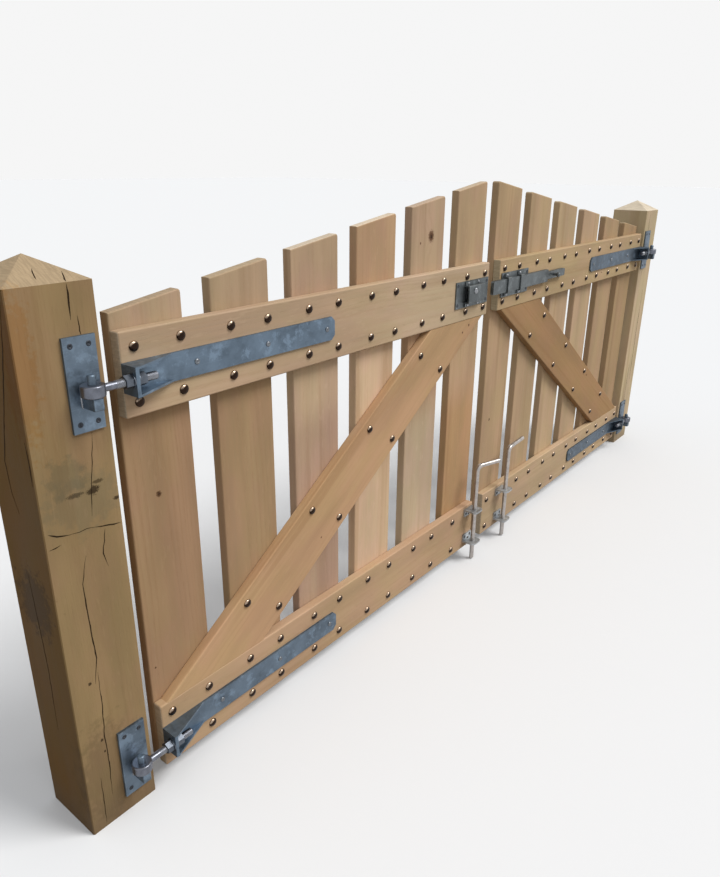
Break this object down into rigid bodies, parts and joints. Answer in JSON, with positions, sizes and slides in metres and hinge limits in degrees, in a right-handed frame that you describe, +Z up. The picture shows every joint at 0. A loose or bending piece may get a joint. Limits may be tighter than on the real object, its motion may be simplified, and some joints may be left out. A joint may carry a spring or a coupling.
{
  "type": "double-leaf oak picket gate with posts",
  "caption": "Double-leaf oak picket gate between two square posts, with arched picket tops, diagonal braces, strap hinges on pintles, a sliding bolt and cranked drop rods.",
  "frame": {"origin": "centre of the left post's foot, at ground level", "axes": "+X along the gate from the left post to the right post, -Y towards the side with the rails, braces and ironwork, +Z up"},
  "size_m": [3.33, 0.235, 1.361],
  "materials": {
    "post_oak": "rough sawn oak, untreated, with drying cracks",
    "rail_oak": "planed fresh oak, untreated",
    "picket_oak": "planed fresh oak, untreated",
    "galvanised_steel": "hot-dip galvanised, matt with soft spangle",
    "zinc_fastener": "zinc plated, brighter than the straps",
    "zinc_rod": "zinc plated round bar"
  },
  "bodies": {
    "posts": {"left_post": "post_oak", "right_post": "post_oak", "left_top_pintle": "galvanised_steel", "left_bottom_pintle": "galvanised_steel", "right_top_pintle": "galvanised_steel", "right_bottom_pintle": "galvanised_steel"},
    "left_leaf": {"left_top_rail": "rail_oak", "left_bottom_rail": "rail_oak", "left_brace": "rail_oak", "left_picket_1": "picket_oak", "left_picket_2": "picket_oak", "left_picket_3": "picket_oak", "left_picket_4": "picket_oak", "left_picket_5": "picket_oak", "left_picket_6": "picket_oak", "left_top_strap": "galvanised_steel", "left_bottom_strap": "galvanised_steel", "left_top_eyebolt": "zinc_fastener", "left_bottom_eyebolt": "zinc_fastener", "left_top_nuts": "zinc_fastener", "left_bottom_nuts": "zinc_fastener", "left_rod_guides": "galvanised_steel", "latch_keeper": "galvanised_steel"},
    "right_leaf": {"right_top_rail": "rail_oak", "right_bottom_rail": "rail_oak", "right_brace": "rail_oak", "right_picket_1": "picket_oak", "right_picket_2": "picket_oak", "right_picket_3": "picket_oak", "right_picket_4": "picket_oak", "right_picket_5": "picket_oak", "right_picket_6": "picket_oak", "right_top_strap": "galvanised_steel", "right_bottom_strap": "galvanised_steel", "right_top_eyebolt": "zinc_fastener", "right_bottom_eyebolt": "zinc_fastener", "right_top_nuts": "zinc_fastener", "right_bottom_nuts": "zinc_fastener", "right_rod_guides": "galvanised_steel", "latch_guide": "galvanised_steel"},
    "slide_bolt": {"slide_bolt": "galvanised_steel"},
    "left_drop_rod": {"left_drop_rod": "zinc_rod"},
    "right_drop_rod": {"right_drop_rod": "zinc_rod"}
  },
  "joints": [
    {"name": "left_leaf_hinge", "type": "hinge", "parent": "posts", "child": "left_leaf", "pos_m": [0.0365, -0.1145, 0.5], "axis": [0, 0, -1], "range_deg": [0, 110]},
    {"name": "right_leaf_hinge", "type": "hinge", "parent": "posts", "child": "right_leaf", "pos_m": [3.1285, -0.1145, 0.5], "axis": [0, 0, 1], "range_deg": [0, 110]},
    {"name": "bolt_slide", "type": "slide", "parent": "right_leaf", "child": "slide_bolt", "axis": [1, 0, 0], "range_m": [-0.172, 0]},
    {"name": "left_rod_slide", "type": "slide", "parent": "left_leaf", "child": "left_drop_rod", "axis": [0, 0, 1], "range_m": [0, 0.1]},
    {"name": "right_rod_slide", "type": "slide", "parent": "right_leaf", "child": "right_drop_rod", "axis": [0, 0, 1], "range_m": [0, 0.1]}
  ]
}
